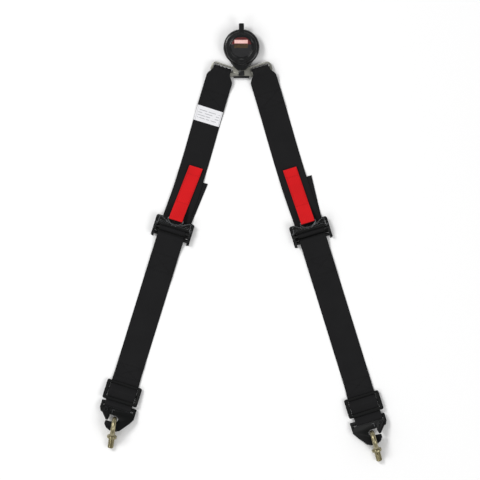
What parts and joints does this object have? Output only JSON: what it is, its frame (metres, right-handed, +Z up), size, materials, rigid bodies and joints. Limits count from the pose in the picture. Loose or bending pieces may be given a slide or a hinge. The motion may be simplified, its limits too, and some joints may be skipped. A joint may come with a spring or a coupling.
{
  "type": "racing harness",
  "caption": "Lower section of a racing harness laid out flat: rotary quick-release buckle, yoke, webbing belts with quick-release adjusters, red pull tabs, slides, snap hooks and eye bolts.",
  "frame": {"origin": "on the buckle's axis, at its flat back, which lies on the surface", "axes": "+Y from the belts to the buckle's lever tab, +X to the right seen from above, +Z up, away from the surface"},
  "size_m": [0.5248, 0.8017, 0.0373],
  "materials": {
    "black_webbing": "woven",
    "red_webbing": "woven",
    "white_label": "satin weave",
    "black_plastic": "satin",
    "red_enamel": "gloss",
    "plated_steel": "satin",
    "yellow_zinc": "passivated",
    "black_steel": "semi-gloss",
    "spring_steel": "satin",
    "cast_alloy": "cast",
    "bright_steel": "satin"
  },
  "bodies": {
    "buckle": {"buckle_base_plate": "cast_alloy", "buckle_housing": "black_plastic", "buckle_post": "bright_steel", "captive_pin": "bright_steel", "housing_screws": "bright_steel", "knob_return_spring": "spring_steel", "latch_springs": "spring_steel", "yoke_plate": "plated_steel", "yoke_edge_guard": "black_plastic", "yoke_keeper": "black_plastic", "keeper_rivet": "bright_steel"},
    "knob": {"release_knob": "black_plastic", "knob_cam": "cast_alloy", "knob_badge": "red_enamel"},
    "latch": {"latch_lifter": "cast_alloy", "latch_pins": "bright_steel"},
    "left_upper_strap": {"left_upper_webbing": "black_webbing", "left_adjuster_frame": "black_steel", "left_knurled_bar": "bright_steel", "left_lever_pin": "bright_steel", "left_lever_spring": "spring_steel", "care_label": "white_label"},
    "left_lever": {"left_adjuster_lever": "black_steel"},
    "left_pull_tab": {"left_tab_bail": "black_steel", "left_pull_tab_webbing": "red_webbing"},
    "left_lower_strap": {"left_lower_webbing": "black_webbing", "left_slide": "black_steel"},
    "left_hook": {"left_hook_plate": "black_steel", "left_gate_rivet": "bright_steel", "left_gate_spring": "spring_steel"},
    "left_gate_leaf": {"left_gate": "black_steel"},
    "left_eye": {"left_eye_bolt": "yellow_zinc"},
    "right_upper_strap": {"right_upper_webbing": "black_webbing", "right_adjuster_frame": "black_steel", "right_knurled_bar": "bright_steel", "right_lever_pin": "bright_steel", "right_lever_spring": "spring_steel"},
    "right_lever": {"right_adjuster_lever": "black_steel"},
    "right_pull_tab": {"right_tab_bail": "black_steel", "right_pull_tab_webbing": "red_webbing"},
    "right_lower_strap": {"right_lower_webbing": "black_webbing", "right_slide": "black_steel"},
    "right_hook": {"right_hook_plate": "black_steel", "right_gate_rivet": "bright_steel", "right_gate_spring": "spring_steel"},
    "right_gate_leaf": {"right_gate": "black_steel"},
    "right_eye": {"right_eye_bolt": "yellow_zinc"}
  },
  "joints": [
    {"name": "knob_turn", "type": "hinge", "parent": "buckle", "child": "knob", "pos_m": [0, 0, 0.02], "axis": [0, 0, 1], "range_deg": [0, 45], "stiffness_Nm_per_rad": 0.4},
    {"name": "latch_lift", "type": "slide", "parent": "buckle", "child": "latch", "axis": [0, 0, 1], "range_m": [0, 0.003], "deforming": ["latch_springs"]},
    {"name": "left_strap_swing", "type": "hinge", "parent": "buckle", "child": "left_upper_strap", "pos_m": [-0.0361, -0.0445, 0.00607], "axis": [-0.9553, 0.2957, 0], "range_deg": [0, 60]},
    {"name": "left_lever_lift", "type": "hinge", "parent": "left_upper_strap", "child": "left_lever", "pos_m": [-0.12401, -0.3285, 0.0134], "axis": [0.9553, -0.2957, 0], "range_deg": [0, 50], "stiffness_Nm_per_rad": 0.3},
    {"name": "left_tab_flip", "type": "hinge", "parent": "left_lever", "child": "left_pull_tab", "pos_m": [-0.1228, -0.32459, 0.0162], "axis": [0.9553, -0.2957, 0], "range_deg": [0, 75]},
    {"name": "left_lower_strap_swing", "type": "hinge", "parent": "left_upper_strap", "child": "left_lower_strap", "pos_m": [-0.12954, -0.34637, 0.0048], "axis": [-0.9553, 0.2957, 0], "range_deg": [0, 45]},
    {"name": "left_hook_swing", "type": "hinge", "parent": "left_lower_strap", "child": "left_hook", "pos_m": [-0.22407, -0.6568, 0.00527], "axis": [-0.9553, 0.2957, 0], "range_deg": [0, 45]},
    {"name": "left_gate_open", "type": "hinge", "parent": "left_hook", "child": "left_gate_leaf", "pos_m": [-0.2482, -0.66205, 0.01141], "axis": [0.0982, 0.3173, 0.9432], "range_deg": [0, 16], "stiffness_Nm_per_rad": 0.05},
    {"name": "left_eye_swing", "type": "hinge", "parent": "left_hook", "child": "left_eye", "pos_m": [-0.23242, -0.68038, 0.01408], "axis": [0.0982, 0.3173, 0.9432], "range_deg": [-30, 15]},
    {"name": "right_strap_swing", "type": "hinge", "parent": "buckle", "child": "right_upper_strap", "pos_m": [0.0361, -0.0445, 0.00607], "axis": [-0.9553, -0.2957, 0], "range_deg": [0, 60]},
    {"name": "right_lever_lift", "type": "hinge", "parent": "right_upper_strap", "child": "right_lever", "pos_m": [0.12529, -0.33261, 0.0134], "axis": [0.9553, 0.2957, 0], "range_deg": [0, 50], "stiffness_Nm_per_rad": 0.3},
    {"name": "right_tab_flip", "type": "hinge", "parent": "right_lever", "child": "right_pull_tab", "pos_m": [0.12407, -0.3287, 0.0162], "axis": [0.9553, 0.2957, 0], "range_deg": [0, 75]},
    {"name": "right_lower_strap_swing", "type": "hinge", "parent": "right_upper_strap", "child": "right_lower_strap", "pos_m": [0.13081, -0.35048, 0.0048], "axis": [-0.9553, -0.2957, 0], "range_deg": [0, 45]},
    {"name": "right_hook_swing", "type": "hinge", "parent": "right_lower_strap", "child": "right_hook", "pos_m": [0.23084, -0.68171, 0.00527], "axis": [-0.9553, -0.2957, 0], "range_deg": [0, 45]},
    {"name": "right_gate_open", "type": "hinge", "parent": "right_hook", "child": "right_gate_leaf", "pos_m": [0.25497, -0.68696, 0.01141], "axis": [0.0982, -0.3173, -0.9432], "range_deg": [0, 16], "stiffness_Nm_per_rad": 0.05},
    {"name": "right_eye_swing", "type": "hinge", "parent": "right_hook", "child": "right_eye", "pos_m": [0.23918, -0.70529, 0.01408], "axis": [0.0982, -0.3173, -0.9432], "range_deg": [-22.7, 22.3]}
  ],
  "couplings": [
    {"joint": "latch_lift", "follows": "knob_turn", "m_per_rad": 0.0038197}
  ]
}
